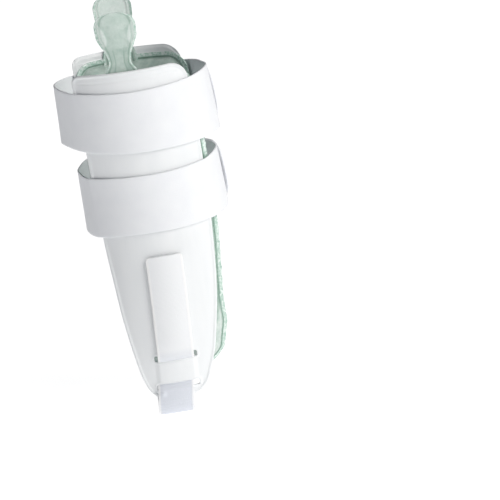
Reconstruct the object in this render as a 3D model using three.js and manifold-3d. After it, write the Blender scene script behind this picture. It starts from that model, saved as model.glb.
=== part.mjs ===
// Air stirrup ankle brace for a right ankle, standing upright on its heel strap. Millimetres.
// X points to the toes, -Y to the outer side of the leg, +Z up the leg.
// The origin is the middle of the heel strap's underside.
import * as THREE from 'three';
import { mergeVertices } from 'three/addons/utils/BufferGeometryUtils.js';
import Module from 'manifold-3d';

const wasm = await Module();
wasm.setup();

// Driving dimensions
const fitGap = 0.3;

const shellHeight = 222;
const shellLift = 14;
const shellForward = 2;
const shellWidth = 74;
const shellWall = 2.2;
const calfReach = 50.8;
const topFrontCorner = 11;
const topBackCorner = 6;
const tipCorner = 12;

const lowSlotHeight = 23;
const highSlotHeight = 44;
const slotLength = 28.4;
const slotOpening = 4.4;
const slotCorner = 1.3;
const slotShift = 1.1;
const bridgeRise = 0.5;
const bridgeMargin = 0.6;

const cellThickness = 9.5;
const cellFilm = 1.2;
const cellWeld = 4.5;
const cellShoulder = 9;
const cellTopDrop = 5;
const cellTipRise = 17;
const cellFrontLap = 8.6;
const cellBackInset = 0.8;
const cellTopCorner = 12;
const cellTipCorner = 10;
const cellEase = 14;

const tabHeight = 37;
const tabRoot = 9;
const tabWidth = 26.4;
const tabShift = -3.5;
const tabChannel = 2;
const tabChannelHalf = 0.45;

const legStrapThickness = 1.7;
const upperStrapWidth = 40;
const upperStrapDrop = 10;
const lowerStrapWidth = 40;
const lowerStrapDrop = 65;
const strapSag = 4;
const tailFlare = 1.5;

const heelStrapWidth = 24;
const heelStrapThickness = 1.5;
const heelStrapShift = 1.15;
const heelStrapDrop = 17;
const heelFlatWidth = 52;
const strapBend = 2.2;

// Heights worked out from them
const shellTop = shellLift + shellHeight;
const cellTop = shellTop - cellTopDrop;
const cellTip = shellLift + cellTipRise;
const cellBack = -shellWall - fitGap;
const heelStrapTop = shellTop - lowerStrapDrop - lowerStrapWidth - heelStrapDrop;

// Sections of a shell from its lower edge (up = 0) to its upper edge (up = 1).
// back, front and shift are shares of shellWidth, reach is a share of calfReach, bend is the radius of
// the section as a share of its reach, and lap is the cell's front overhang as a share of cellFrontLap.
const shellSections = [
  { up: 0.0, back: 0.251, front: 0.273, shift: 0.0, reach: 0.774, bend: 1.5, lap: 0.27 },
  { up: 0.036, back: 0.265, front: 0.295, shift: 0.005, reach: 0.807, bend: 1.46, lap: 0.27 },
  { up: 0.086, back: 0.311, front: 0.341, shift: 0.011, reach: 0.844, bend: 1.4, lap: 0.6 },
  { up: 0.135, back: 0.345, front: 0.38, shift: 0.018, reach: 0.88, bend: 1.34, lap: 1.0 },
  { up: 0.194, back: 0.38, front: 0.409, shift: 0.025, reach: 0.904, bend: 1.3, lap: 0.9 },
  { up: 0.284, back: 0.426, front: 0.444, shift: 0.036, reach: 0.915, bend: 1.24, lap: 0.5 },
  { up: 0.374, back: 0.455, front: 0.467, shift: 0.043, reach: 0.913, bend: 1.19, lap: 0.42 },
  { up: 0.505, back: 0.49, front: 0.485, shift: 0.049, reach: 0.909, bend: 1.14, lap: 0.45 },
  { up: 0.617, back: 0.5, front: 0.494, shift: 0.046, reach: 0.91, bend: 1.12, lap: 0.4 },
  { up: 0.797, back: 0.5, front: 0.506, shift: 0.03, reach: 0.955, bend: 1.08, lap: 0.3 },
  { up: 1.0, back: 0.497, front: 0.503, shift: 0.0, reach: 0.98, bend: 1.06, lap: 0.27 },
];

// How the leg straps lie, each pair of values for the strap's lower and upper edge. back and front are
// how far it reaches round the calf and the shin, as shares of calfReach. calfSag, sideSag and shinSag
// are how far it hangs below level there and over the shells, as shares of strapSag. A strap begins on
// the inner side, startDegrees round the leg from the toes, and runs on overlapDegrees past a full turn.
const strapFits = {
  upper_strap: {
    back: [1.001, 0.947],
    front: [1.013, 0.98],
    calfSag: [-0.5, 0],
    sideSag: [0.65, 0.85],
    shinSag: [0.7, 0.1],
    startDegrees: 112,
    overlapDegrees: 102,
  },
  lower_strap: {
    back: [0.885, 0.87],
    front: [0.956, 0.912],
    calfSag: [0.9, 0.75],
    sideSag: [0.25, 0.75],
    shinSag: [0, 0],
    startDegrees: 118,
    overlapDegrees: 110,
  },
};

// Outline of the inflation tab from its root inside the cell (up = 0) to its rounded end (up = 1):
// half its width there as a share of tabWidth.
const tabOutline = [
  { up: 0.0, half: 0.46 },
  { up: 0.2, half: 0.43 },
  { up: 0.28, half: 0.38 },
  { up: 0.39, half: 0.265 },
  { up: 0.5, half: 0.305 },
  { up: 0.61, half: 0.41 },
  { up: 0.71, half: 0.49 },
  { up: 0.84, half: 0.5 },
  { up: 0.93, half: 0.43 },
  { up: 0.98, half: 0.27 },
  { up: 1.0, half: 0.12 },
];

// Columns across a cell, -1 at its back edge and 1 at its front edge, and across a tab.
const cellColumns = [-1, -0.88, -0.8, -0.68, -0.5, -0.25, 0, 0.25, 0.5, 0.68, 0.8, 0.88, 1];
const tabColumns = [-1, -tabChannelHalf, -0.3, 0, 0.3, tabChannelHalf, 1];

// A column of a table at a height, smooth and never past the values on either side of it.
function read(table, name, up) {
  const last = table.length - 1;
  const grade = (i) => (table[i + 1][name] - table[i][name]) / (table[i + 1].up - table[i].up);
  const tangent = (i) => {
    if (i === 0) return grade(0);
    if (i === last) return grade(last - 1);
    const before = grade(i - 1);
    const after = grade(i);
    return before * after > 0 ? (2 * before * after) / (before + after) : 0;
  };
  let i = 0;
  while (i < last - 1 && up > table[i + 1].up) i += 1;
  const span = table[i + 1].up - table[i].up;
  const t = THREE.MathUtils.clamp((up - table[i].up) / span, 0, 1);
  const start = (1 + 2 * t) * (1 - t) ** 2 * table[i][name];
  const end = t * t * (3 - 2 * t) * table[i + 1][name];
  const leave = t * (1 - t) ** 2 * span * tangent(i);
  const arrive = t * t * (t - 1) * span * tangent(i + 1);
  return start + end + leave + arrive;
}

// The shell's section at a height: an arc of a circle seen from above.
function sectionAt(z) {
  const up = (z - shellLift) / shellHeight;
  const reach = calfReach * read(shellSections, 'reach', up);
  return {
    reach,
    radius: reach * read(shellSections, 'bend', up),
    shift: shellForward + shellWidth * read(shellSections, 'shift', up),
    back: shellWidth * read(shellSections, 'back', up),
    front: shellWidth * read(shellSections, 'front', up),
    lap: cellFrontLap * read(shellSections, 'lap', up),
  };
}

// A point at a distance outward from the shell's outer face, forward of its centre line by across.
// side is -1 on the outer side of the leg and 1 on the inner side.
function onShell(side, across, z, outward) {
  const { reach, radius, shift } = sectionAt(z);
  const angle = Math.asin(across / radius);
  const x = shift + (radius + outward) * Math.sin(angle);
  const y = reach - radius + (radius + outward) * Math.cos(angle);
  return new THREE.Vector3(x, side * y, z);
}

// How far a rounded corner draws an edge in, at a distance from the end.
function cornerInset(distance, radius) {
  if (distance >= radius) return 0;
  return radius - Math.sqrt(radius ** 2 - (radius - distance) ** 2);
}

// Heights from low to high, close together in the rounded ends and about step apart between them.
function rowHeights(low, high, lowRound, highRound, step) {
  const cornerRows = 4;
  const rows = [];
  for (let k = 0; k < cornerRows; k += 1) {
    rows.push(low + lowRound * (1 - Math.cos((k / cornerRows) * (Math.PI / 2))));
  }
  const straight = high - highRound - low - lowRound;
  const count = Math.ceil(straight / step);
  for (let k = 0; k <= count; k += 1) {
    rows.push(low + lowRound + (straight * k) / count);
  }
  for (let k = 1; k <= cornerRows; k += 1) {
    rows.push(high - highRound + highRound * Math.sin((k / cornerRows) * (Math.PI / 2)));
  }
  return rows;
}

// A closed geometry between two grids of points of the same size, facing out.
function slab(faceA, faceB) {
  const rows = faceA.length;
  const columns = faceA[0].length;
  const points = [...faceA.flat(), ...faceB.flat()];
  const a = (r, c) => r * columns + c;
  const b = (r, c) => rows * columns + a(r, c);
  const index = [];
  const quad = (p, q, s, t) => index.push(p, q, s, p, s, t);
  for (let r = 0; r < rows - 1; r += 1) {
    for (let c = 0; c < columns - 1; c += 1) {
      quad(a(r, c), a(r, c + 1), a(r + 1, c + 1), a(r + 1, c));
      quad(b(r, c), b(r + 1, c), b(r + 1, c + 1), b(r, c + 1));
    }
    quad(a(r, 0), a(r + 1, 0), b(r + 1, 0), b(r, 0));
    quad(a(r, columns - 1), b(r, columns - 1), b(r + 1, columns - 1), a(r + 1, columns - 1));
  }
  for (let c = 0; c < columns - 1; c += 1) {
    quad(a(0, c), b(0, c), b(0, c + 1), a(0, c + 1));
    quad(a(rows - 1, c), a(rows - 1, c + 1), b(rows - 1, c + 1), b(rows - 1, c));
  }
  let volume = 0;
  const normal = new THREE.Vector3();
  for (let i = 0; i < index.length; i += 3) {
    normal.crossVectors(points[index[i + 1]], points[index[i + 2]]);
    volume += points[index[i]].dot(normal);
  }
  if (volume < 0) index.reverse();
  const geometry = new THREE.BufferGeometry().setFromPoints(points);
  geometry.setIndex(index);
  return geometry;
}

function toSolid(geometry) {
  const bare = geometry.clone();
  bare.deleteAttribute('normal');
  bare.deleteAttribute('uv');
  const merged = mergeVertices(bare, 1e-4);
  return new wasm.Manifold(new wasm.Mesh({
    numProp: 3,
    vertProperties: new Float32Array(merged.attributes.position.array),
    triVerts: new Uint32Array(merged.index.array),
  }));
}

function toGeometry(solid) {
  const mesh = solid.getMesh();
  const geometry = new THREE.BufferGeometry();
  geometry.setAttribute('position', new THREE.BufferAttribute(mesh.vertProperties, 3));
  geometry.setIndex(new THREE.BufferAttribute(mesh.triVerts, 1));
  return geometry;
}

// Materials
const shellPlastic = new THREE.MeshStandardMaterial({ color: '#eef0ee', roughness: 0.4, metalness: 0 });
const strapFabric = new THREE.MeshStandardMaterial({ color: '#f2f1f5', roughness: 0.9, metalness: 0 });
const cellVinyl = new THREE.MeshStandardMaterial({
  color: '#b9d3c4',
  roughness: 0.3,
  metalness: 0,
  transparent: true,
  opacity: 0.75,
});

const brace = new THREE.Group();

function addPiece(name, geometry, material) {
  geometry.computeVertexNormals();
  const mesh = new THREE.Mesh(geometry, material);
  mesh.name = name;
  brace.add(mesh);
}

// Side shells: a tapered curved plate with two level slots near its tip and a raised bridge between them
function shellPlate(side) {
  const columns = 11;
  const topRound = Math.max(topFrontCorner, topBackCorner);
  const heights = rowHeights(shellLift, shellTop, tipCorner, topRound, 9.5);
  const face = (outward) => heights.map((z) => {
    const { back, front } = sectionAt(z);
    const tip = cornerInset(z - shellLift, tipCorner);
    const from = -back + Math.max(tip, cornerInset(shellTop - z, topBackCorner));
    const to = front - Math.max(tip, cornerInset(shellTop - z, topFrontCorner));
    const row = [];
    for (let c = 0; c <= columns; c += 1) {
      row.push(onShell(side, THREE.MathUtils.lerp(from, to, c / columns), z, outward));
    }
    return row;
  });
  return toSolid(slab(face(0), face(-shellWall)));
}

function bridgePlate(side) {
  const columns = 6;
  const rows = 3;
  const low = lowSlotHeight + slotOpening / 2 + bridgeMargin;
  const high = highSlotHeight - slotOpening / 2 - bridgeMargin;
  const sunk = shellWall / 2;
  const face = (outward) => {
    const grid = [];
    for (let r = 0; r <= rows; r += 1) {
      const row = [];
      for (let c = 0; c <= columns; c += 1) {
        const across = slotShift + slotLength * (c / columns - 0.5);
        row.push(onShell(side, across, THREE.MathUtils.lerp(low, high, r / rows), outward));
      }
      grid.push(row);
    }
    return grid;
  };
  return toSolid(slab(face(bridgeRise), face(-sunk)));
}

function slotCut(side, z) {
  const x = slotLength / 2 - slotCorner;
  const y = slotOpening / 2 - slotCorner;
  const quarter = Math.PI / 2;
  const outline = new THREE.Shape();
  outline.absarc(x, y, slotCorner, 0, quarter, false);
  outline.absarc(-x, y, slotCorner, quarter, 2 * quarter, false);
  outline.absarc(-x, -y, slotCorner, 2 * quarter, 3 * quarter, false);
  outline.absarc(x, -y, slotCorner, 3 * quarter, 4 * quarter, false);
  const cut = new THREE.ExtrudeGeometry(outline, {
    depth: calfReach,
    bevelEnabled: false,
    curveSegments: 2,
  });
  cut.rotateX(Math.PI / 2);
  cut.translate(sectionAt(z).shift + slotShift, side > 0 ? calfReach * 1.5 : -calfReach / 2, z);
  return toSolid(cut);
}

function addShell(name, side) {
  const cuts = [lowSlotHeight, highSlotHeight].map((z) => slotCut(side, z));
  const plate = shellPlate(side).add(bridgePlate(side));
  addPiece(name, toGeometry(plate.subtract(cuts[0]).subtract(cuts[1])), shellPlastic);
}

addShell('lateral_shell', -1);
addShell('medial_shell', 1);

// Air cells: a welded film pad inside each shell, swollen between its weld borders, with a flat tab
// that stands above the shell and carries the filling channel
function swell(distance) {
  const t = THREE.MathUtils.clamp(distance / cellShoulder, 0, 1);
  return Math.sqrt(1 - (1 - t) ** 2);
}

function cellPad(side) {
  const heights = rowHeights(cellTip, cellTop, cellTipCorner, cellTopCorner, 9.5);
  const outer = [];
  const inner = [];
  heights.forEach((z) => {
    const { back, front, lap } = sectionAt(z);
    const tip = cornerInset(z - cellTip, cellTipCorner);
    const inset = Math.max(tip, cornerInset(cellTop - z, cellTopCorner));
    const from = -back + cellBackInset + inset;
    const to = front + lap - inset;
    const half = (to - from) / 2;
    const toEnd = Math.min(z - cellTip, cellTop - z) - cellWeld;
    const outerRow = [];
    const innerRow = [];
    cellColumns.forEach((u) => {
      const across = THREE.MathUtils.lerp(from, to, (u + 1) / 2);
      const toEdge = half * (1 - Math.abs(u)) - cellWeld;
      const depth = cellFilm + (cellThickness - cellFilm) * swell(toEdge) * swell(toEnd);
      outerRow.push(onCell(side, across, z, 0));
      innerRow.push(onCell(side, across, z, depth));
    });
    outer.push(outerRow);
    inner.push(innerRow);
  });
  return toSolid(slab(outer, inner));
}

// A point at a depth into the cell from the face that lies against the shell. Near its tip the cell
// makes room for the heel strap behind the bridge.
function onCell(side, across, z, depth) {
  const { reach, radius, shift } = sectionAt(z);
  const clear = highSlotHeight + strapBend + fitGap;
  const room = heelStrapThickness + 2 * fitGap;
  const sunk = room * (1 - THREE.MathUtils.smoothstep(z, clear, clear + cellEase));
  const angle = Math.asin(across / (radius + cellBack));
  const x = shift + (radius + cellBack - sunk - depth) * Math.sin(angle);
  const y = reach - radius + (radius + cellBack - sunk - depth) * Math.cos(angle);
  return new THREE.Vector3(x, side * y, z);
}

function cellTab(side) {
  const low = cellTop - tabRoot;
  const high = shellTop + tabHeight;
  const rows = 18;
  const outer = [];
  const inner = [];
  for (let r = 0; r <= rows; r += 1) {
    const up = r / rows;
    const z = THREE.MathUtils.lerp(low, high, up);
    const half = tabWidth * read(tabOutline, 'half', up);
    const channel = tabChannel * Math.sin(Math.PI * up);
    const outerRow = [];
    const innerRow = [];
    tabColumns.forEach((u) => {
      const bulge = channel * Math.max(0, 1 - Math.abs(u) / tabChannelHalf);
      outerRow.push(onCell(side, tabShift + half * u, z, fitGap));
      innerRow.push(onCell(side, tabShift + half * u, z, fitGap + cellFilm + bulge));
    });
    outer.push(outerRow);
    inner.push(innerRow);
  }
  return toSolid(slab(outer, inner));
}

function addCell(name, side) {
  addPiece(name, toGeometry(cellPad(side).add(cellTab(side))), cellVinyl);
}

addCell('lateral_air_cell', -1);
addCell('medial_air_cell', 1);

// Leg straps: one band round both shells, its end lying over its beginning on the inner side
const shellTurn = 100;
const loopLeave = 0.35;
const loopArrive = 0.3;

// A point of the loop that a strap follows at a height: over a shell along its arc, and from edge to
// edge of the two shells round the calf or the shin. turn is in degrees, 0 at the toes and 90 on the
// inner side.
function onLoop(turn, z, back, front, outward) {
  const at = sectionAt(z);
  const round = THREE.MathUtils.euclideanModulo(turn, 360);
  const side = round < 180 ? 1 : -1;
  const fromSide = (round < 180 ? 90 - round : round - 270) / (shellTurn / 2);
  if (Math.abs(fromSide) <= 1) {
    const across = fromSide > 0 ? at.front * fromSide : at.back * fromSide;
    return onShell(side, across, z, fitGap + outward);
  }
  const forward = fromSide > 0;
  const reachX = forward ? front : back;
  const edge = forward ? at.front : at.back;
  const angle = Math.asin(edge / at.radius);
  const start = new THREE.Vector2(
    (at.radius + fitGap) * Math.sin(angle),
    at.reach - at.radius + (at.radius + fitGap) * Math.cos(angle),
  );
  const leave = (loopLeave * (reachX - start.x)) / Math.cos(angle);
  const curve = new THREE.CubicBezierCurve(
    start,
    new THREE.Vector2(start.x + leave * Math.cos(angle), start.y - leave * Math.sin(angle)),
    new THREE.Vector2(reachX, loopArrive * start.y),
    new THREE.Vector2(reachX, 0),
  );
  const t = (Math.abs(fromSide) - 1) / (180 / shellTurn - 1);
  const point = curve.getPoint(t);
  const along = curve.getTangent(t);
  const x = point.x - along.y * outward;
  const y = point.y + along.x * outward;
  return new THREE.Vector3(at.shift + (forward ? x : -x), side * y, z);
}

// How far a strap hangs below level at a turn, between its lower edge (t = 0) and its upper edge (t = 1).
function sagAt(fit, turn, t) {
  const forward = Math.cos(THREE.MathUtils.degToRad(turn));
  const end = forward > 0 ? fit.shinSag : fit.calfSag;
  const share = THREE.MathUtils.lerp(
    THREE.MathUtils.lerp(...fit.sideSag, t),
    THREE.MathUtils.lerp(...end, t),
    forward ** 2,
  );
  return strapSag * share;
}

function legStrap(name, drop, width) {
  const fit = strapFits[name];
  const stationTurn = 6;
  const riseTurn = 34;
  const flareTurn = 16;
  const turn = 360 + fit.overlapDegrees;
  const stations = Math.round(turn / stationTurn);
  const low = shellTop - drop - width;
  const rows = 3;
  const face = (outward) => {
    const grid = [];
    for (let s = 0; s <= stations; s += 1) {
      const gone = (turn * s) / stations;
      const over = 360 - stationTurn;
      const step = THREE.MathUtils.smoothstep(gone, over - riseTurn, over);
      const flare = tailFlare * THREE.MathUtils.smoothstep(gone, turn - flareTurn, turn);
      const lift = (legStrapThickness + fitGap) * step + flare;
      const row = [];
      for (let c = 0; c <= rows; c += 1) {
        const t = c / rows;
        const back = calfReach * THREE.MathUtils.lerp(...fit.back, t);
        const front = calfReach * THREE.MathUtils.lerp(...fit.front, t);
        const at = fit.startDegrees - gone;
        const z = low + width * t - sagAt(fit, at, t);
        row.push(onLoop(at, z, back, front, lift + outward));
      }
      grid.push(row);
    }
    return grid;
  };
  addPiece(name, slab(face(0), face(legStrapThickness)), strapFabric);
}

legStrap('upper_strap', upperStrapDrop, upperStrapWidth);
legStrap('lower_strap', lowerStrapDrop, lowerStrapWidth);

// Heel strap: flat on the floor, up over each shell's tip, in through the low slot, behind the bridge,
// out through the high slot and up the shell's outer face
const strapHalf = heelStrapThickness / 2;
const strapOutside = fitGap + strapHalf;
const strapInside = -shellWall - fitGap - strapHalf;
const turnPull = 0.6;

// How far the strap's middle layer lies from the shell's outer face at a height.
function strapOffset(z) {
  const ease = (slot) => THREE.MathUtils.smoothstep(z, slot - strapBend, slot + strapBend);
  return strapOutside + (strapInside - strapOutside) * (ease(lowSlotHeight) - ease(highSlotHeight));
}

// Stations of one half of the strap, from the middle of the floor up: place, and share of the curve.
function heelStations() {
  const stations = [];
  const flat = heelFlatWidth / 2;
  stations.push({ out: 0, z: strapHalf, curve: 0 });
  const joinOut = (z) => sectionAt(z).reach + strapOffset(z);
  const join = joinOut(shellLift);
  const slope = joinOut(shellLift + 1) - join;
  const pull = shellLift * turnPull;
  const turn = new THREE.CubicBezierCurve(
    new THREE.Vector2(flat, strapHalf),
    new THREE.Vector2(THREE.MathUtils.lerp(flat, join, turnPull), strapHalf),
    new THREE.Vector2(join - slope * pull, shellLift - pull),
    new THREE.Vector2(join, shellLift),
  );
  const turnSteps = 6;
  for (let k = 0; k < turnSteps; k += 1) {
    const p = turn.getPoint(k / turnSteps);
    stations.push({ out: p.x, z: p.y, curve: k / turnSteps });
  }
  const climb = (from, to, steps) => {
    for (let k = 0; k < steps; k += 1) {
      const z = THREE.MathUtils.lerp(from, to, k / steps);
      stations.push({ out: joinOut(z), z, curve: 1 });
    }
  };
  climb(shellLift, lowSlotHeight - strapBend, 2);
  climb(lowSlotHeight - strapBend, lowSlotHeight + strapBend, 6);
  climb(lowSlotHeight + strapBend, highSlotHeight - strapBend, 3);
  climb(highSlotHeight - strapBend, highSlotHeight + strapBend, 6);
  climb(highSlotHeight + strapBend, heelStrapTop, 11);
  climb(heelStrapTop, heelStrapTop + 1, 1);
  return stations;
}

function heelStrap() {
  const half = heelStations();
  const path = [
    ...half.slice(1).reverse().map((s) => ({ ...s, side: -1 })),
    ...half.map((s) => ({ ...s, side: 1 })),
  ];
  const across = 4;
  const face = (offset) => path.map((station, i) => {
    const before = path[Math.max(i - 1, 0)];
    const after = path[Math.min(i + 1, path.length - 1)];
    const onFloor = station.curve === 0;
    const along = new THREE.Vector2(
      after.side * after.out - before.side * before.out,
      onFloor ? 0 : after.z - before.z,
    ).normalize();
    const { reach, radius, shift } = sectionAt(station.z);
    const lean = THREE.MathUtils.smoothstep(station.z, shellLift / 4, highSlotHeight - strapBend);
    const middle = (shift + heelStrapShift) * lean;
    const bowRadius = radius + station.out - reach;
    const row = [];
    for (let c = 0; c <= across; c += 1) {
      const x = middle + heelStrapWidth * (c / across - 0.5);
      const bow = (bowRadius - Math.sqrt(bowRadius ** 2 - (x - shift) ** 2)) * station.curve;
      const y = station.side * (station.out - bow) + along.y * offset;
      row.push(new THREE.Vector3(x, y, station.z - along.x * offset));
    }
    return row;
  });
  return slab(face(-strapHalf), face(strapHalf));
}

addPiece('heel_strap', heelStrap(), strapFabric);

export default brace;
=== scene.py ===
import functools
import math

import bpy
from mathutils import Matrix, Vector, noise


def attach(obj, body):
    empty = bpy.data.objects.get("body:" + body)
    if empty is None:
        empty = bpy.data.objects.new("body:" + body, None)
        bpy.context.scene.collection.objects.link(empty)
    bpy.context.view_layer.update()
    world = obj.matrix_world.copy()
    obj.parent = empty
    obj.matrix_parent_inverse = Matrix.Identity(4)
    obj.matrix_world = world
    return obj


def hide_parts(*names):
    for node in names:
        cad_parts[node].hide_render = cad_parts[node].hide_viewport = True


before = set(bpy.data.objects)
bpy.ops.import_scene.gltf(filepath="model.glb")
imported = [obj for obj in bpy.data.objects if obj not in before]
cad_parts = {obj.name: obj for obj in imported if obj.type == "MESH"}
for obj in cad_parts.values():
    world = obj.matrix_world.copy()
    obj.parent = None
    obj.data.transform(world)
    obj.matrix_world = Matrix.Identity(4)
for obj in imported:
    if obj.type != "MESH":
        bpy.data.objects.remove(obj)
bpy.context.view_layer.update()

MM = 0.001


# Camera, floor and light
# The photo looks at the brace's outer side from a little above, and the brace leans in it, so the camera
# is rolled. FOCAL_PX is the focal length in pixels of a picture of FRAME_PX, and AIM_AT_PX is where the
# point AIM_MM of the brace shows in it.
FRAME_PX = 500
FOCAL_PX = 1795
SENSOR_MM = 36
AIM_MM = (2, 0, 120)
AIM_AT_PX = (152.1, 229.8)
CAMERA_DISTANCE_MM = 1200
CAMERA_AZIMUTH = 0
CAMERA_ELEVATION = 14.5
CAMERA_ROLL = -8.9
FLOOR_SIZE_M = 12


def direction(azimuth, elevation):
    """Unit vector away from the brace; azimuth 0 is its outer side and 90 its front."""
    turn, rise = math.radians(azimuth), math.radians(elevation)
    return Vector((math.sin(turn) * math.cos(rise), -math.cos(turn) * math.cos(rise), math.sin(rise)))


def place_camera():
    toward = direction(CAMERA_AZIMUTH, CAMERA_ELEVATION)
    camera = bpy.data.objects.new("camera", bpy.data.cameras.new("camera"))
    bpy.context.collection.objects.link(camera)
    camera.data.sensor_width = SENSOR_MM
    camera.data.lens = SENSOR_MM * FOCAL_PX / FRAME_PX
    look = (-toward).to_track_quat("-Z", "Y")
    roll = Matrix.Rotation(math.radians(CAMERA_ROLL), 3, "Z").to_quaternion()
    half = FRAME_PX / 2
    ray = Vector(((AIM_AT_PX[0] - half) / FOCAL_PX, (half - AIM_AT_PX[1]) / FOCAL_PX, -1)).normalized()
    turn = Vector((0, 0, -1)).rotation_difference(ray)
    camera.rotation_mode = "QUATERNION"
    camera.rotation_quaternion = look @ roll @ turn.inverted()
    camera.location = (Vector(AIM_MM) + toward * CAMERA_DISTANCE_MM) * MM
    bpy.context.scene.camera = camera


place_camera()


def srgb(code):
    """Linear colour of an sRGB hex code."""
    channels = [int(code[i:i + 2], 16) / 255 for i in (1, 3, 5)]
    return [c / 12.92 if c <= 0.04045 else ((c + 0.055) / 1.055) ** 2.4 for c in channels] + [1.0]


def node(material, kind, links=(), **settings):
    """Adds a shader node; settings name its properties or sockets, links are (socket, output)."""
    made = material.node_tree.nodes.new(kind)
    for name, value in settings.items():
        if hasattr(made, name):
            setattr(made, name, value)
        else:
            made.inputs[name.replace("_", " ")].default_value = value
    for socket, output in links:
        material.node_tree.links.new(output, made.inputs[socket])
    return made


def new_material(name):
    """A material with one Principled shader; returns both."""
    material = bpy.data.materials.new(name)
    material.use_nodes = True
    return material, material.node_tree.nodes["Principled BSDF"]


def set_floor():
    # Opal acrylic lit from below, as a light table's top, so that hardly any shadow shows on it.
    material, shader = new_material("opal_acrylic")
    shader.inputs["Base Color"].default_value = srgb("#8c8c8c")
    shader.inputs["Roughness"].default_value = 0.9
    shader.inputs["Emission Color"].default_value = srgb("#ffffff")
    shader.inputs["Emission Strength"].default_value = 0.95
    bpy.ops.object.select_all(action="DESELECT")
    bpy.ops.mesh.primitive_plane_add(size=FLOOR_SIZE_M)
    floor = bpy.context.object
    floor.name = "floor"
    floor.data.materials.append(material)


set_floor()


def soft_sun(name, azimuth, elevation, spread, strength, colour):
    data = bpy.data.lights.new(name, "SUN")
    data.angle = math.radians(spread)
    data.energy = strength
    data.color = srgb(colour)[:3]
    lamp = bpy.data.objects.new(name, data)
    bpy.context.collection.objects.link(lamp)
    lamp.rotation_euler = direction(azimuth, elevation).to_track_quat("Z", "Y").to_euler()


# The key light comes from the front, so the back edges lie in shade.
soft_sun("key_light", azimuth=52, elevation=34, spread=45, strength=2.2, colour="#fffdfa")


def set_world():
    # A dim, slightly blue sky fills the shade.
    world = bpy.data.worlds.new("studio")
    bpy.context.scene.world = world
    world.use_nodes = True
    sky = world.node_tree.nodes["Background"]
    sky.inputs["Color"].default_value = srgb("#e2e8fb")
    sky.inputs["Strength"].default_value = 0.08


set_world()
bpy.context.scene.view_settings.view_transform = "Standard"


# Side shells
# Two tapered plates of injection-moulded polypropylene, each bent to an arc, with a raised rim, a fine
# line below the top, two level slots near the tip for the heel strap and a raised bridge between them.
SHELL_HEIGHT = 222
SHELL_LIFT = 14
SHELL_FORWARD = 2
SHELL_WIDTH = 74
SHELL_WALL = 2.2
CALF_REACH = 50.8
SHELL_TOP = SHELL_LIFT + SHELL_HEIGHT
CORNERS = {"tip_back": 12, "tip_front": 12, "top_back": 6, "top_front": 11}
LOW_SLOT = 23
HIGH_SLOT = 44
SLOT_LENGTH = 28.4
SLOT_OPENING = 4.4
SLOT_CORNER = 1.3
SLOT_SHIFT = 1.1
SLOT_LIP = 0.3
SLOT_LIP_OUT = 0.9
SLOT_LIP_FLAT = 0.2
SLOT_LIP_HALF = 1.1
CUTTER_DEPTH = 30
CUTTER_SIDES = 34
BRIDGE_RISE = 0.5
BRIDGE_SHARE = 0.9
BRIDGE_SLOPE = 2.0
BRIDGE_EASE = 0.2
BRIDGE_END_INSIDE = 3.5
BRIDGE_END_OUTSIDE = 0.5
RIM_WIDTH = 1.8
RIM_ROUND = 1.1
FIELD_SINK = 0.6
TOP_LINE_DROP = 5.6
TOP_LINE_HALF = 1.0
TOP_LINE_DEPTH = 0.2
TOP_LINE_ENDS = (3, 5)
CELL_FRONT_LAP = 8.6
SHELL_GRID = (110, 300)

# Sections from the lower edge (up = 0) to the upper edge (up = 1). back, front and shift are shares of
# SHELL_WIDTH, reach of CALF_REACH, bend of the reach, and lap, the air cell's overhang in front, of
# CELL_FRONT_LAP.
COLUMNS = ("up", "back", "front", "shift", "reach", "bend", "lap")
SECTIONS = [dict(zip(COLUMNS, row)) for row in (
    (0.0, 0.251, 0.273, 0.0, 0.774, 1.5, 0.27),
    (0.036, 0.265, 0.295, 0.005, 0.807, 1.46, 0.27),
    (0.086, 0.311, 0.341, 0.011, 0.844, 1.4, 0.6),
    (0.135, 0.345, 0.38, 0.018, 0.88, 1.34, 1.0),
    (0.194, 0.38, 0.409, 0.025, 0.904, 1.3, 0.9),
    (0.284, 0.426, 0.444, 0.036, 0.915, 1.24, 0.5),
    (0.374, 0.455, 0.467, 0.043, 0.913, 1.19, 0.42),
    (0.505, 0.49, 0.485, 0.049, 0.909, 1.14, 0.45),
    (0.617, 0.5, 0.494, 0.046, 0.91, 1.12, 0.4),
    (0.797, 0.5, 0.506, 0.03, 0.955, 1.08, 0.3),
    (1.0, 0.497, 0.503, 0.0, 0.98, 1.06, 0.27),
)]


def clamp(value, low=0.0, high=1.0):
    return max(low, min(high, value))


def smooth(value, low, high):
    """0 below low, 1 above high and smooth between."""
    t = clamp((value - low) / (high - low))
    return t * t * (3 - 2 * t)


def mix(a, b, t):
    return a + (b - a) * t


def read(table, column, up):
    """A column of a table at a height, smooth and never past the values on either side of it."""
    last = len(table) - 1

    def grade(i):
        return (table[i + 1][column] - table[i][column]) / (table[i + 1]["up"] - table[i]["up"])

    def tangent(i):
        if i == 0:
            return grade(0)
        if i == last:
            return grade(last - 1)
        before, after = grade(i - 1), grade(i)
        return 2 * before * after / (before + after) if before * after > 0 else 0

    i = 0
    while i < last - 1 and up > table[i + 1]["up"]:
        i += 1
    span = table[i + 1]["up"] - table[i]["up"]
    t = clamp((up - table[i]["up"]) / span)
    start = (1 + 2 * t) * (1 - t) ** 2 * table[i][column]
    end = t * t * (3 - 2 * t) * table[i + 1][column]
    leave = t * (1 - t) ** 2 * span * tangent(i)
    arrive = t * t * (t - 1) * span * tangent(i + 1)
    return start + end + leave + arrive


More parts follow.
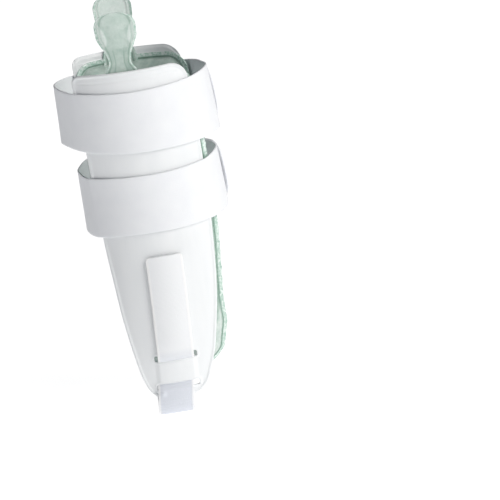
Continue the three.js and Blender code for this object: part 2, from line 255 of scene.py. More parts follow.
@functools.lru_cache(maxsize=None)
def section_at(z):
    """The shell's section at a height: an arc of a circle seen from above, and its edges."""
    up = (z - SHELL_LIFT) / SHELL_HEIGHT
    reach = CALF_REACH * read(SECTIONS, "reach", up)
    return {
        "reach": reach,
        "radius": reach * read(SECTIONS, "bend", up),
        "shift": SHELL_FORWARD + SHELL_WIDTH * read(SECTIONS, "shift", up),
        "back": SHELL_WIDTH * read(SECTIONS, "back", up),
        "front": SHELL_WIDTH * read(SECTIONS, "front", up),
        "lap": CELL_FRONT_LAP * read(SECTIONS, "lap", up),
    }


def on_shell(side, across, z, outward):
    """A point at a distance outward from the shell's outer face; side is -1 for the outer shell."""
    at = section_at(round(z, 3))
    angle = math.asin(clamp(across / at["radius"], -1, 1))
    x = at["shift"] + (at["radius"] + outward) * math.sin(angle)
    y = at["reach"] - at["radius"] + (at["radius"] + outward) * math.cos(angle)
    return Vector((x, side * y, z)) * MM


def round_corner(edge_gap, end_gap, radius):
    """Pulls the corner of a plate in to an arc: the gaps to its edge and its end, and to its outline."""
    if edge_gap >= radius or end_gap >= radius:
        return edge_gap, end_gap, min(edge_gap, end_gap)
    p = 1 - edge_gap / radius
    q = 1 - end_gap / radius
    a = p * math.sqrt(1 - q * q / 2)
    b = q * math.sqrt(1 - p * p / 2)
    return radius * (1 - a), radius * (1 - b), radius * (1 - math.hypot(a, b))


def plate_point(u, v, low, high, edges, corners):
    """Where a grid's point lies on a plate with rounded corners: across, height and gap to its outline."""
    z = mix(low, high, (v + 1) / 2)
    back, front = edges(z)
    from_back = u < 0
    from_low = v < 0
    edge_gap = (1 - abs(u)) * (front + back) / 2
    end_gap = (1 - abs(v)) * (high - low) / 2
    key = ("tip_" if from_low else "top_") + ("back" if from_back else "front")
    edge_gap, end_gap, gap = round_corner(edge_gap, end_gap, corners[key])
    z = low + end_gap if from_low else high - end_gap
    back, front = edges(z)
    across = -back + edge_gap if from_back else front - edge_gap
    return across, z, gap


def crowd(t):
    """Draws a grid's lines together near its edges, where the forms are small."""
    return mix(t, math.sin(t * math.pi / 2), 0.7)


def grid_piece(name, grid, place):
    """A grid primitive whose every point (u, v), from -1 to 1 each way, is moved to place(u, v)."""
    bpy.ops.object.select_all(action="DESELECT")
    bpy.ops.mesh.primitive_grid_add(x_subdivisions=grid[0], y_subdivisions=grid[1], size=2)
    piece = bpy.context.object
    piece.name = name
    piece.data.name = name
    for vertex in piece.data.vertices:
        vertex.co = place(vertex.co.x, vertex.co.y)
    return piece


def finish_with(piece, kind, **settings):
    """Adds a modifier and applies it."""
    bpy.context.view_layer.objects.active = piece
    modifier = piece.modifiers.new(kind.lower(), kind)
    for key, value in settings.items():
        setattr(modifier, key, value)
    bpy.ops.object.modifier_apply(modifier=modifier.name)


def shell_edges(z):
    at = section_at(round(z, 3))
    return at["back"], at["front"]


def slot_gap(across, z):
    """Distance from a place on the shell to the nearer slot's outline, negative inside it."""
    over = abs(across - SLOT_SHIFT) - SLOT_LENGTH / 2 + SLOT_CORNER
    rise = min(abs(z - LOW_SLOT), abs(z - HIGH_SLOT)) - SLOT_OPENING / 2 + SLOT_CORNER
    return math.hypot(max(over, 0), max(rise, 0)) + min(max(over, rise), 0) - SLOT_CORNER


def shell_face(side, u, v):
    across, z, gap = plate_point(-side * crowd(u), crowd(v), SHELL_LIFT, SHELL_TOP, shell_edges, CORNERS)
    turned = clamp(1 - gap / RIM_ROUND)
    rim = -RIM_ROUND * (1 - math.sqrt(1 - turned * turned))
    face = rim - FIELD_SINK * smooth(gap, RIM_WIDTH * 0.7, RIM_WIDTH * 1.4)
    from_line = abs(SHELL_TOP - z - TOP_LINE_DROP)
    line = (1 - smooth(from_line, TOP_LINE_HALF * 0.3, TOP_LINE_HALF)) * smooth(gap, *TOP_LINE_ENDS)
    face -= TOP_LINE_DEPTH * line
    low = LOW_SLOT + SLOT_OPENING / 2
    high = HIGH_SLOT - SLOT_OPENING / 2
    end = SLOT_LENGTH / 2
    raised = smooth(z, low - BRIDGE_EASE, low + BRIDGE_SLOPE)
    raised *= 1 - smooth(z, high - BRIDGE_SLOPE, high + BRIDGE_EASE)
    raised *= 1 - smooth(abs(across - SLOT_SHIFT), end - BRIDGE_END_INSIDE, end + BRIDGE_END_OUTSIDE)
    face += (BRIDGE_RISE - face) * raised * BRIDGE_SHARE
    from_lip = abs(slot_gap(across, z) - SLOT_LIP_OUT)
    lip = SLOT_LIP * (1 - smooth(from_lip, SLOT_LIP_FLAT, SLOT_LIP_HALF))
    return on_shell(side, across, z, face + lip)


def slot_cutter(side, z):
    """A long bar with a slot's outline: a cylinder of the corner's radius, drawn apart into its length."""
    bpy.ops.object.select_all(action="DESELECT")
    at = section_at(round(z, 3))
    bpy.ops.mesh.primitive_cylinder_add(vertices=CUTTER_SIDES, radius=SLOT_CORNER * MM,
                                        depth=CUTTER_DEPTH * MM)
    cutter = bpy.context.object
    over = (SLOT_LENGTH / 2 - SLOT_CORNER) * MM
    rise = (SLOT_OPENING / 2 - SLOT_CORNER) * MM
    for vertex in cutter.data.vertices:
        x = vertex.co.x + math.copysign(over, vertex.co.x) + (at["shift"] + SLOT_SHIFT) * MM
        height = vertex.co.y + math.copysign(rise, vertex.co.y) + z * MM
        vertex.co = (x, side * at["reach"] * MM + vertex.co.z, height)
    bpy.ops.object.mode_set(mode="EDIT")
    bpy.ops.mesh.select_all(action="SELECT")
    bpy.ops.mesh.normals_make_consistent(inside=False)
    bpy.ops.object.mode_set(mode="OBJECT")
    return cutter


def polypropylene():
    # Polypropylene from a polished mould: satin white with a faint waxy depth. Fine flow marks run up
    # the part and the light scatters a little inside it.
    material, shader = new_material("moulded_polypropylene")
    place = node(material, "ShaderNodeTexCoord")
    flow = node(material, "ShaderNodeMapping", [("Vector", place.outputs["Object"])], Scale=(60, 60, 9))
    marks = node(material, "ShaderNodeTexNoise", [("Vector", flow.outputs["Vector"])],
                 Scale=2.0, Detail=3.0, Roughness=0.55)
    tint = node(material, "ShaderNodeValToRGB", [("Fac", marks.outputs["Fac"])])
    tint.color_ramp.elements[0].color = srgb("#eceff1")
    tint.color_ramp.elements[1].color = srgb("#f5f7f8")
    gloss = node(material, "ShaderNodeMapRange", [("Value", marks.outputs["Fac"])], To_Min=0.3, To_Max=0.42)
    pebble = node(material, "ShaderNodeTexNoise", [("Vector", place.outputs["Object"])],
                  Scale=900.0, Detail=2.0)
    relief = node(material, "ShaderNodeBump", [("Height", pebble.outputs["Fac"])],
                  Strength=0.06, Distance=0.0004)
    links = material.node_tree.links
    links.new(tint.outputs["Color"], shader.inputs["Base Color"])
    links.new(gloss.outputs["Result"], shader.inputs["Roughness"])
    links.new(relief.outputs["Normal"], shader.inputs["Normal"])
    shader.inputs["IOR"].default_value = 1.49
    shader.inputs["Subsurface Weight"].default_value = 0.12
    shader.inputs["Subsurface Radius"].default_value = (0.003, 0.003, 0.003)
    return material


def dress(piece, material, node_name, smooth_angle):
    """Shades a finished piece, gives it its material and lets it stand for its CAD node."""
    bpy.ops.object.select_all(action="DESELECT")
    piece.select_set(True)
    bpy.context.view_layer.objects.active = piece
    bpy.ops.object.shade_smooth_by_angle(angle=math.radians(smooth_angle))
    piece.data.materials.clear()
    piece.data.materials.append(material)
    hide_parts(node_name)
    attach(piece, "root")


def make_shell(name, side, node_name):
    shell = grid_piece(name, SHELL_GRID, functools.partial(shell_face, side))
    finish_with(shell, "SOLIDIFY", thickness=(SHELL_WALL - FIELD_SINK) * MM, offset=-1)
    for z in (LOW_SLOT, HIGH_SLOT):
        cutter = slot_cutter(side, z)
        finish_with(shell, "BOOLEAN", operation="DIFFERENCE", object=cutter, solver="EXACT")
        bpy.data.objects.remove(cutter)
    dress(shell, SHELL_PLASTIC, node_name, 40)


SHELL_PLASTIC = polypropylene()
make_shell("outer_side_shell", -1, "lateral_shell")
make_shell("inner_side_shell", 1, "medial_shell")


# Air cells
# A bag of soft vinyl film lies inside each shell, welded all round and blown up, so that its wall is
# drawn into small creases along the weld. Its flat filling tab stands up above the shell.
CELL_THICKNESS = 9.5
CELL_FILM = 1.2
CELL_WELD = 4.2
CELL_SHOULDER = 9
CELL_BACK_INSET = 0.8
CELL_TIP = SHELL_LIFT + 17
CELL_TOP = SHELL_TOP - 5
CELL_CORNERS = {"tip_back": 10, "tip_front": 10, "top_back": 12, "top_front": 12}
CELL_EASE = 14
FIT_GAP = 0.3
HEEL_STRAP_THICKNESS = 1.5
STRAP_BEND = 2.2
CREASE_DEPTH = 0.9
CREASE_SPACING = 3.4
CREASE_START = 2.5
CREASE_REACH = 9
PRESSED_FILM = CELL_FILM * 0.6
FLANGE = 2.4
FLANGE_EASE = 0.5
WELD_LINE = 3.0
WELD_HALF = 1.0
PUCKER = 0.6
PUCKER_SPACING = 2.6
PUCKER_REACH = 3
CELL_GRID = (80, 300)

TAB_WIDTH = 26.4
TAB_SHIFT = -3.5
TAB_LOW = CELL_TOP - 9
TAB_HIGH = SHELL_TOP + 37
TAB_CHANNEL = 2.0
TAB_WELD = 0.66
TAB_WELD_RISE = 0.5
TAB_INNER_RISE = 0.3
TAB_NECK = 0.4
TAB_GRID = (60, 80)
# Half the tab's width, as a share of TAB_WIDTH, from its root (up = 0) to its rounded end (up = 1).
TAB_OUTLINE = [dict(zip(("up", "half"), row)) for row in (
    (0.0, 0.46), (0.2, 0.43), (0.28, 0.38), (0.39, 0.265), (0.5, 0.305), (0.61, 0.41),
    (0.71, 0.49), (0.84, 0.5), (0.93, 0.43), (0.98, 0.27), (1.0, 0.12),
)]


def on_cell(side, across, z, depth):
    """A point at a depth into the air cell from its face against the shell, clear of the heel strap."""
    at = section_at(round(z, 3))
    clear = HIGH_SLOT + STRAP_BEND + FIT_GAP
    room = HEEL_STRAP_THICKNESS + 2 * FIT_GAP
    sunk = room * (1 - smooth(z, clear, clear + CELL_EASE))
    inside = at["radius"] - SHELL_WALL - FIT_GAP
    angle = math.asin(clamp(across / inside, -1, 1))
    x = at["shift"] + (inside - sunk - depth) * math.sin(angle)
    y = at["reach"] - at["radius"] + (inside - sunk - depth) * math.cos(angle)
    return Vector((x, side * y, z)) * MM


def cell_edges(z):
    at = section_at(round(z, 3))
    return at["back"] - CELL_BACK_INSET, at["front"] + at["lap"]


def swell(distance):
    t = clamp(distance / CELL_SHOULDER)
    return math.sqrt(1 - (1 - t) ** 2)


def along_weld(edge_gap, end_gap, across, z, pitch, depth):
    """Noise that runs in lines away from the nearest weld."""
    toward_end = smooth(edge_gap - end_gap, -4, 4)
    side_lines = noise.noise(Vector((z / pitch, depth, 0)))
    end_lines = noise.noise(Vector((across / pitch, depth, 50)))
    return mix(side_lines, end_lines, toward_end)


def cell_shape(side, u, v):
    """Place against the shell, depth of the bag there, and how far it is weld line and milky flange."""
    u, v = -side * crowd(u), crowd(v)
    across, z, gap = plate_point(u, v, CELL_TIP, CELL_TOP, cell_edges, CELL_CORNERS)
    back, front = cell_edges(z)
    edge_gap = min(across + back, front - across)
    end_gap = min(z - CELL_TIP, CELL_TOP - z)
    body = gap - CELL_WELD
    crease = along_weld(edge_gap, end_gap, across, z, CREASE_SPACING, gap / 30)
    crease *= CREASE_DEPTH * smooth(body, 0, CREASE_START) * math.exp(-max(body, 0) / CREASE_REACH)
    flange = 1 - smooth(gap, FLANGE - FLANGE_EASE, FLANGE + FLANGE_EASE)
    pucker = along_weld(edge_gap, end_gap, across, z, PUCKER_SPACING, gap / 4)
    pucker += 0.6 * along_weld(edge_gap, end_gap, across, z, PUCKER_SPACING / 2, 7 + gap / 4)
    # In front of the shell's edge the flange puckers both ways, and behind it only inwards.
    bare = smooth(across - section_at(round(z, 3))["front"], 0.2, 1.2)
    sunk = PUCKER * pucker * (0.3 + 0.7 * flange)
    sunk *= 1 if sunk > 0 else bare
    sunk *= 1 - smooth(body, 0, PUCKER_REACH)
    depth = PRESSED_FILM + (CELL_THICKNESS - CELL_FILM) * swell(body) - abs(crease)
    weld = 1 - smooth(abs(gap - WELD_LINE), WELD_HALF * 0.4, WELD_HALF)
    return on_cell(side, across, z, sunk), depth, weld, flange


def tab_shape(side, u, v):
    """The same for the filling tab: a channel between two weld lines, which narrow at its neck."""
    up = (v + 1) / 2
    u = -side * u
    z = mix(TAB_LOW, TAB_HIGH, up)
    across = TAB_SHIFT + TAB_WIDTH * read(TAB_OUTLINE, "half", up) * u
    channel = TAB_CHANNEL * math.sin(math.pi * clamp(up * 1.04)) * math.sqrt(clamp(1 - (u / TAB_WELD) ** 2))
    outer_line = 1 - smooth(abs(abs(u) - TAB_WELD - 0.1), 0.02, 0.08)
    inner_line = 1 - smooth(abs(abs(u) - TAB_WELD * 0.6), 0.02, 0.09)
    neck = 1 - smooth(abs(up - TAB_NECK), 0.05, 0.22)
    line = max(0.75 * outer_line, 0.6 * inner_line * neck)
    milk = smooth(abs(u), 0.84, 0.94)
    depth = PRESSED_FILM + channel + TAB_WELD_RISE * outer_line + TAB_INNER_RISE * inner_line * neck
    return on_cell(side, across, z, FIT_GAP), depth, line, milk


def film_bag(name, grid, shape, thickness):
    """A film bag: a grid on the shell's side, thickened inwards by the depth of every point."""
    piece = grid_piece(name, grid, lambda u, v: Vector((u, v, 0)))
    shapes = [shape(vertex.co.x, vertex.co.y) for vertex in piece.data.vertices]
    depths = piece.vertex_groups.new(name="depth")
    for vertex, (place, depth, _, _) in zip(piece.data.vertices, shapes):
        vertex.co = place
        depths.add([vertex.index], clamp(depth / thickness), "REPLACE")
    for column, mark in ((2, "weld"), (3, "milk")):
        values = piece.data.attributes.new(mark, "FLOAT", "POINT")
        values.data.foreach_set("value", [row[column] for row in shapes])
    finish_with(piece, "SOLIDIFY", thickness=thickness * MM, offset=-1, vertex_group="depth")
    return piece


def vinyl_film():
    # Welded vinyl film: clear pale green and glossy, milky white on the creased flange, and darker along
    # the weld, where the two films have melted into one.
    material, shader = new_material("welded_vinyl_film")
    place = node(material, "ShaderNodeTexCoord")
    seam = node(material, "ShaderNodeAttribute", attribute_name="weld")
    flange = node(material, "ShaderNodeAttribute", attribute_name="milk")
    cloud = node(material, "ShaderNodeTexNoise", [("Vector", place.outputs["Object"])],
                 Scale=150.0, Detail=4.0, Roughness=0.6)
    film = node(material, "ShaderNodeValToRGB", [("Fac", cloud.outputs["Fac"])])
    film.color_ramp.elements[0].position = 0.3
    film.color_ramp.elements[0].color = srgb("#c2dbcf")
    film.color_ramp.elements[1].position = 0.7
    film.color_ramp.elements[1].color = srgb("#e4f0ea")
    crinkle = node(material, "ShaderNodeTexNoise", [("Vector", place.outputs["Object"])],
                   Scale=520.0, Detail=3.0, Roughness=0.6)
    pressed = node(material, "ShaderNodeValToRGB", [("Fac", crinkle.outputs["Fac"])])
    pressed.color_ramp.elements[0].position = 0.4
    pressed.color_ramp.elements[0].color = srgb("#a9c9bb")
    pressed.color_ramp.elements[1].position = 0.62
    pressed.color_ramp.elements[1].color = srgb("#e6f1ec")
    milky = node(material, "ShaderNodeMixRGB",
                 [("Fac", flange.outputs["Fac"]), ("Color1", film.outputs["Color"]),
                  ("Color2", pressed.outputs["Color"])])
    melted = node(material, "ShaderNodeMixRGB",
                  [("Fac", seam.outputs["Fac"]), ("Color1", milky.outputs["Color"])],
                  Color2=srgb("#97b8a8"))
    clear = node(material, "ShaderNodeMapRange", [("Value", cloud.outputs["Fac"])],
                 To_Min=0.35, To_Max=0.65)
    cover = node(material, "ShaderNodeMath", [(0, clear.outputs["Result"]), (1, flange.outputs["Fac"])],
                 operation="ADD", use_clamp=True)
    grain = node(material, "ShaderNodeBump", [("Height", cloud.outputs["Fac"])],
                 Strength=0.35, Distance=0.0008)
    links = material.node_tree.links
    links.new(melted.outputs["Color"], shader.inputs["Base Color"])
    links.new(cover.outputs[0], shader.inputs["Alpha"])
    links.new(grain.outputs["Normal"], shader.inputs["Normal"])
    shader.inputs["Roughness"].default_value = 0.22
    shader.inputs["IOR"].default_value = 1.53
    return material


def make_cell(name, side, node_name):
    bag = film_bag(name, CELL_GRID, functools.partial(cell_shape, side), CELL_THICKNESS)
    tab = film_bag(name + "_tab", TAB_GRID, functools.partial(tab_shape, side), TAB_CHANNEL + CELL_FILM)
    bpy.ops.object.select_all(action="DESELECT")
    tab.select_set(True)
    bag.select_set(True)
    bpy.context.view_layer.objects.active = bag
    bpy.ops.object.join()
    dress(bag, CELL_VINYL, node_name, 60)


CELL_VINYL = vinyl_film()
make_cell("outer_air_bag", -1, "lateral_air_cell")
make_cell("inner_air_bag", 1, "medial_air_cell")


# Heel strap
# One length of woven polyester webbing joins the shells from below. Each end goes in through the
# shell's low slot, behind the bridge, out through the high slot and lies flat up the shell's outside.
HEEL_STRAP_WIDTH = 24
HEEL_STRAP_SHIFT = 1.15
HEEL_STRAP_TOP = 114
HEEL_FLAT_WIDTH = 52
TURN_PULL = 0.6
SELVEDGE = 1.4
SELVEDGE_RISE = 0.1
SELVEDGE_ROUND = 0.45
END_ROUND = 2.5
CROWN = 0.7
TUCK_RISE = 1.5
BUNCH_RISE = 0.9
BUNCH_HEIGHT = 19
BUNCH_ACROSS = 0.74
FLOOR_ROWS = 10
TURN_ROWS = 16
ROW_SPACING = 0.5
ROW_POINTS = 28
WEBBING_RIB = 1.1
# Distance in mm from the heel strap's middle where the painted shade on its lowest stretch starts to fade,
# and where it is gone.
PAINTED_SHADE_REACH = (50, 66)
STRAP_HALF = HEEL_STRAP_THICKNESS / 2
STRAP_OUTSIDE = FIT_GAP + STRAP_HALF
STRAP_INSIDE = -SHELL_WALL - FIT_GAP - STRAP_HALF


def strap_out(z):
    """How far out the strap's middle layer lies at a height of the shell."""
    inside = smooth(z, LOW_SLOT - STRAP_BEND, LOW_SLOT + STRAP_BEND)
    inside -= smooth(z, HIGH_SLOT - STRAP_BEND, HIGH_SLOT + STRAP_BEND)
    return section_at(round(z, 3))["reach"] + mix(STRAP_OUTSIDE, STRAP_INSIDE, inside)


def bezier(stops, t):
    """A point of a curve that leaves the first stop toward the second and comes from the third."""
    shares = [(1 - t) ** 3, 3 * t * (1 - t) ** 2, 3 * t * t * (1 - t), t ** 3]
    return sum((stop * share for stop, share in zip(stops, shares)), Vector((0, 0)))


def heel_route():
    """One half of the strap from the middle of the floor up: distance out, height and share of the bow."""
    flat = HEEL_FLAT_WIDTH / 2
    join = strap_out(SHELL_LIFT)
    slope = strap_out(SHELL_LIFT + 1) - join
    pull = SHELL_LIFT * TURN_PULL
    turn = [Vector((flat, STRAP_HALF)), Vector((mix(flat, join, TURN_PULL), STRAP_HALF)),
            Vector((join - slope * pull, SHELL_LIFT - pull)), Vector((join, SHELL_LIFT))]
    route = [(flat * k / FLOOR_ROWS, STRAP_HALF, 0) for k in range(FLOOR_ROWS)]
    for k in range(TURN_ROWS):
        point = bezier(turn, k / TURN_ROWS)
        route.append((point.x, point.y, k / TURN_ROWS))
    steps = round((HEEL_STRAP_TOP - SHELL_LIFT) / ROW_SPACING)
    for k in range(steps + 1):
        z = mix(SHELL_LIFT, HEEL_STRAP_TOP, k / steps)
        route.append((strap_out(z), z, 1))
    return route


HEEL_ROUTE = heel_route()
HEEL_PATH = [(-1, *stop) for stop in reversed(HEEL_ROUTE[1:])] + [(1, *stop) for stop in HEEL_ROUTE]


def heel_relief(u, z):
    """How far the strap stands up off its route at a height of the shell."""
    # It bunches up at its back edge where it goes into the low slot, lies close over the bridge's edges
    # in both slots, and arches a little from edge to edge above them.
    bunch = BUNCH_RISE * math.exp(-((z - BUNCH_HEIGHT) / 2.4) ** 2 - ((u - BUNCH_ACROSS) / 0.16) ** 2)
    from_bridge = max(z - HIGH_SLOT, LOW_SLOT - z) + SLOT_OPENING / 2
    tuck = TUCK_RISE * smooth(from_bridge, -0.1, 0.9) * (1 - smooth(from_bridge, 1.6, SLOT_OPENING))
    crown = CROWN * (1 - u * u) * smooth(z, HIGH_SLOT + STRAP_BEND, HIGH_SLOT + 12)
    return bunch + tuck + crown


def heel_point(u, v):
    i = round((v + 1) / 2 * (len(HEEL_PATH) - 1))
    side, out, z, bowed = HEEL_PATH[i]
    before = HEEL_PATH[max(i - 1, 0)]
    after = HEEL_PATH[min(i + 1, len(HEEL_PATH) - 1)]
    along = Vector((after[0] * after[1] - before[0] * before[1], after[2] - before[2])).normalized()
    at = section_at(round(z, 3))
    lean = smooth(z, SHELL_LIFT / 4, HIGH_SLOT - STRAP_BEND)
    to_end = clamp(1 - (HEEL_STRAP_TOP - z) / END_ROUND)
    half = HEEL_STRAP_WIDTH / 2 - END_ROUND * (1 - math.sqrt(1 - to_end * to_end))
    x = (at["shift"] + HEEL_STRAP_SHIFT) * lean - half * u
    bow_radius = at["radius"] + out - at["reach"]
    bow = (bow_radius - math.sqrt(bow_radius ** 2 - (x - at["shift"]) ** 2)) * bowed
    field = 1 - smooth(abs(u), 1 - 1.3 * SELVEDGE / half, 1 - 0.7 * SELVEDGE / half)
    outward = STRAP_HALF - SELVEDGE_RISE * field + bowed * heel_relief(u, z)
    y = side * (out - bow) + along.y * outward
    return Vector((x, y, z - along.x * outward)) * MM


def heel_length():
    stops = [Vector((side * out, z)) for side, out, z, _ in HEEL_PATH]
    return sum((b - a).length for a, b in zip(stops, stops[1:]))


def webbing():
    # Woven polyester webbing: white and matt. The weft shows as fine ribs across it, with a firmer and
    # brighter selvedge along both edges. Its lowest stretch has painted shade: the middle is greyed blue.
    material, shader = new_material("woven_polyester_webbing")
    length = heel_length()

    def from_middle(output):
        """How far a UV coordinate is from the strap's middle."""
        past = node(material, "ShaderNodeMath", [(0, output)], operation="SUBTRACT")
        past.inputs[1].default_value = 0.5
        return node(material, "ShaderNodeMath", [(0, past.outputs[0])], operation="ABSOLUTE").outputs[0]

    place = node(material, "ShaderNodeUVMap")
    size = node(material, "ShaderNodeMapping", [("Vector", place.outputs["UV"])],
                Scale=(HEEL_STRAP_WIDTH / WEBBING_RIB, length / WEBBING_RIB, 1))
    ribs = node(material, "ShaderNodeTexWave", [("Vector", size.outputs["Vector"])],
                bands_direction="Y", Scale=0.314, Distortion=1.2, Detail=1.0)
    yarns = node(material, "ShaderNodeTexNoise", [("Vector", size.outputs["Vector"])],
                 Scale=1.4, Detail=3.0)
    cross = node(material, "ShaderNodeMath", [(0, ribs.outputs["Fac"]), (1, yarns.outputs["Fac"])],
                 operation="ADD")
    flat = node(material, "ShaderNodeSeparateXYZ", [("Vector", place.outputs["UV"])])
    border = node(material, "ShaderNodeMapRange", [("Value", from_middle(flat.outputs["X"]))],
                  From_Min=0.5 - 1.3 * SELVEDGE / HEEL_STRAP_WIDTH,
                  From_Max=0.5 - 0.7 * SELVEDGE / HEEL_STRAP_WIDTH)
    # Mask of the painted shade: 0 along the strap's lowest stretch, 1 beyond it.
    out_of_painted_shade = node(material, "ShaderNodeMapRange", [("Value", from_middle(flat.outputs["Y"]))],
                 From_Min=PAINTED_SHADE_REACH[0] / length, From_Max=PAINTED_SHADE_REACH[1] / length)
    unshaded_colour = node(material, "ShaderNodeMixRGB", [("Fac", border.outputs["Result"])],
                 Color1=srgb("#f6f8fa"), Color2=srgb("#fdfdfd"))
    # Painted shade: along the lowest stretch the middle of the strap is greyed blue, as in shade, while its
    # selvedge stays light.
    painted_shade_colour = node(material, "ShaderNodeMixRGB", [("Fac", border.outputs["Result"])],
                  Color1=srgb("#dfe3eb"), Color2=srgb("#f6f7f9"))
    shade = node(material, "ShaderNodeMixRGB",
                 [("Fac", out_of_painted_shade.outputs["Result"]), ("Color1", painted_shade_colour.outputs["Color"]),
                  ("Color2", unshaded_colour.outputs["Color"])])
    relief = node(material, "ShaderNodeBump", [("Height", cross.outputs[0])],
                  Strength=0.35, Distance=0.0003)
    links = material.node_tree.links
    links.new(shade.outputs["Color"], shader.inputs["Base Color"])
    links.new(relief.outputs["Normal"], shader.inputs["Normal"])
    shader.inputs["Roughness"].default_value = 0.8
    shader.inputs["Sheen Weight"].default_value = 0.15
    return material


def make_heel_strap():
    strap = grid_piece("stirrup_webbing", (ROW_POINTS, len(HEEL_PATH) - 1), heel_point)
    finish_with(strap, "SOLIDIFY", thickness=HEEL_STRAP_THICKNESS * MM, offset=-1)
    finish_with(strap, "BEVEL", width=SELVEDGE_ROUND * MM, segments=2,
                limit_method="ANGLE", angle_limit=math.radians(60))
    dress(strap, webbing(), "heel_strap", 50)


make_heel_strap()


# Wrap-round straps
# Two bands of brushed nylon loop fabric go round both shells. Each grips itself where its end lies over
# its beginning, on the inner side, and ends near the front.
LEG_STRAP_THICKNESS = 1.7
BAND_THICKNESS = 1.0
BAND_ROUND = 0.35
BAND_GAP = 0.05
BAND_GRID = (22, 300)
STRAP_SAG = 4
SHELL_TURN = 100
LOOP_LEAVE = 0.35
LOOP_ARRIVE = 0.3
TAIL_FLARE = 1.5
TAIL_ROUND = 13
LAP_START = 354
RISE_TURN = 34
FLARE_TURN = 16
SOFT_RISE = 0.4
SOFT_FROM = 70
SOFT_TURN = 14
SOFT_HEIGHT = 30
# drop is from the shell's upper edge. Each pair is for the strap's lower and upper edge: back and front
# are shares of CALF_REACH, and calf, side and shin are how far it hangs below level at the back, the
# sides and the front, as shares of STRAP_SAG. start is where it begins, in degrees round the brace from
# its front, and overlap is how many degrees it laps over itself.
LEG_STRAPS = {
    "upper_strap": {
        "width": 40, "drop": 10, "back": (1.001, 0.947), "front": (1.013, 0.98),
        "calf": (-0.5, 0), "side": (0.65, 0.85), "shin": (0.7, 0.1), "start": 112, "overlap": 102,
    },
    "lower_strap": {
        "width": 40, "drop": 65, "back": (0.885, 0.87), "front": (0.956, 0.912),
        "calf": (0.9, 0.75), "side": (0.25, 0.75), "shin": (0, 0), "start": 118, "overlap": 110,
    },
}


def on_loop(turn, z, back, front, outward):
    """A point of a strap's loop: over the shells along their arc and from edge to edge between them."""
    at = section_at(round(z, 3))
    turn = turn % 360
    side = 1 if turn < 180 else -1
    from_side = (90 - turn if turn < 180 else turn - 270) / (SHELL_TURN / 2)
    forward = from_side > 0
    edge = at["front"] if forward else at["back"]
    if abs(from_side) <= 1:
        return on_shell(side, edge * from_side, z, BAND_GAP + outward)
    reach_x = front if forward else back
    angle = math.asin(edge / at["radius"])
    radius = at["radius"] + BAND_GAP
    start = Vector((radius * math.sin(angle), at["reach"] - at["radius"] + radius * math.cos(angle)))
    leave = LOOP_LEAVE * (reach_x - start.x) / math.cos(angle)
    stops = [start, start + leave * Vector((math.cos(angle), -math.sin(angle))),
             Vector((reach_x, LOOP_ARRIVE * start.y)), Vector((reach_x, 0))]
    t = (abs(from_side) - 1) / (180 / SHELL_TURN - 1)
    point = bezier(stops, t)
    pulls = [(1 - t) ** 2, 2 * t * (1 - t), t * t]
    along = sum(((q - p) * pull for p, q, pull in zip(stops, stops[1:], pulls)), Vector((0, 0)))
    along.normalize()
    x = point.x - along.y * outward
    y = point.y + along.x * outward
    return Vector((at["shift"] + (x if forward else -x), side * y, z)) * MM


def sag_at(fit, turn, t):
    """How far a strap hangs below level at a turn, between its lower (0) and upper (1) edge."""
    forward = math.cos(math.radians(turn))
    end = fit["shin"] if forward > 0 else fit["calf"]
    return STRAP_SAG * mix(mix(*fit["side"], t), mix(*end, t), forward * forward)


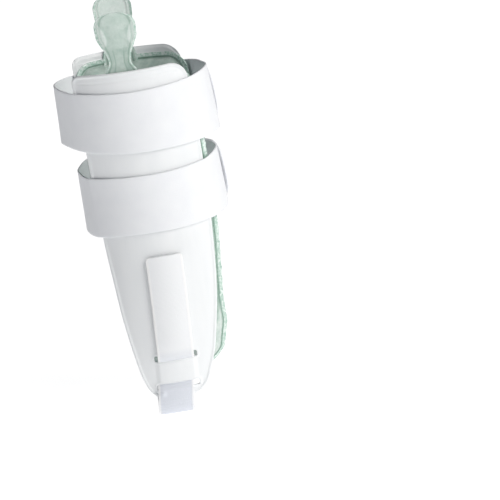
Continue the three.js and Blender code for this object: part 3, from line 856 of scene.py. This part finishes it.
def leg_strap_point(fit, u, v):
    full = 360 + fit["overlap"]
    gone = full * (v + 1) / 2
    to_end = math.radians(full - gone) * CALF_REACH
    round_end = TAIL_ROUND - math.sqrt(max(0, TAIL_ROUND ** 2 - max(0, TAIL_ROUND - to_end) ** 2))
    half = fit["width"] / 2
    t = 0.5 + 0.5 * u * (1 - round_end / half)
    turn = fit["start"] - gone
    z = SHELL_TOP - fit["drop"] - fit["width"] + fit["width"] * t - sag_at(fit, turn, t)
    lift = (LEG_STRAP_THICKNESS + FIT_GAP) * smooth(gone, LAP_START - RISE_TURN, LAP_START)
    flare = TAIL_FLARE * smooth(gone, full - FLARE_TURN, full)
    off_shell = smooth(abs(turn % 180 - 90), SHELL_TURN / 2, SOFT_FROM)
    wave = noise.noise(Vector((gone / SOFT_TURN, z / SOFT_HEIGHT, fit["drop"])))
    soft = SOFT_RISE * off_shell * (1 + wave)
    back = CALF_REACH * mix(*fit["back"], t)
    front = CALF_REACH * mix(*fit["front"], t)
    return on_loop(turn, z, back, front, lift + flare + soft)


def brushed_loop():
    # Brushed nylon loop fabric for a hook fastener: white and matt, with a short nap that catches light
    # along its edges. The nap is drawn at about 0.8 mm so that it shows.
    material, shader = new_material("brushed_nylon_loop")
    place = node(material, "ShaderNodeTexCoord")
    nap = node(material, "ShaderNodeTexNoise", [("Vector", place.outputs["Object"])],
               Scale=1250.0, Detail=3.0, Roughness=0.65)
    patch = node(material, "ShaderNodeTexNoise", [("Vector", place.outputs["Object"])],
                 Scale=90.0, Detail=2.0)
    tint = node(material, "ShaderNodeValToRGB", [("Fac", patch.outputs["Fac"])])
    tint.color_ramp.elements[0].color = srgb("#eff1f5")
    tint.color_ramp.elements[1].color = srgb("#f7f9fb")
    relief = node(material, "ShaderNodeBump", [("Height", nap.outputs["Fac"])],
                  Strength=0.3, Distance=0.0003)
    links = material.node_tree.links
    links.new(tint.outputs["Color"], shader.inputs["Base Color"])
    links.new(relief.outputs["Normal"], shader.inputs["Normal"])
    shader.inputs["Roughness"].default_value = 0.88
    shader.inputs["Sheen Weight"].default_value = 0.25
    shader.inputs["Sheen Roughness"].default_value = 0.4
    return material


def loop_length(fit):
    """Length of a strap along its middle line, laid flat."""
    steps = 400
    stops = [leg_strap_point(fit, 0, 2 * k / steps - 1) for k in range(steps + 1)]
    return sum((b - a).length for a, b in zip(stops, stops[1:]))


def make_leg_strap(name, node_name):
    fit = LEG_STRAPS[node_name]
    strap = grid_piece(name, BAND_GRID, functools.partial(leg_strap_point, fit))
    finish_with(strap, "SOLIDIFY", thickness=BAND_THICKNESS * MM, offset=1)
    finish_with(strap, "BEVEL", width=BAND_ROUND * MM, segments=2,
                limit_method="ANGLE", angle_limit=math.radians(60))
    dress(strap, LOOP_FABRIC, node_name, 50)
    loop_length(fit)


LOOP_FABRIC = brushed_loop()
make_leg_strap("calf_band", "upper_strap")
make_leg_strap("ankle_band", "lower_strap")
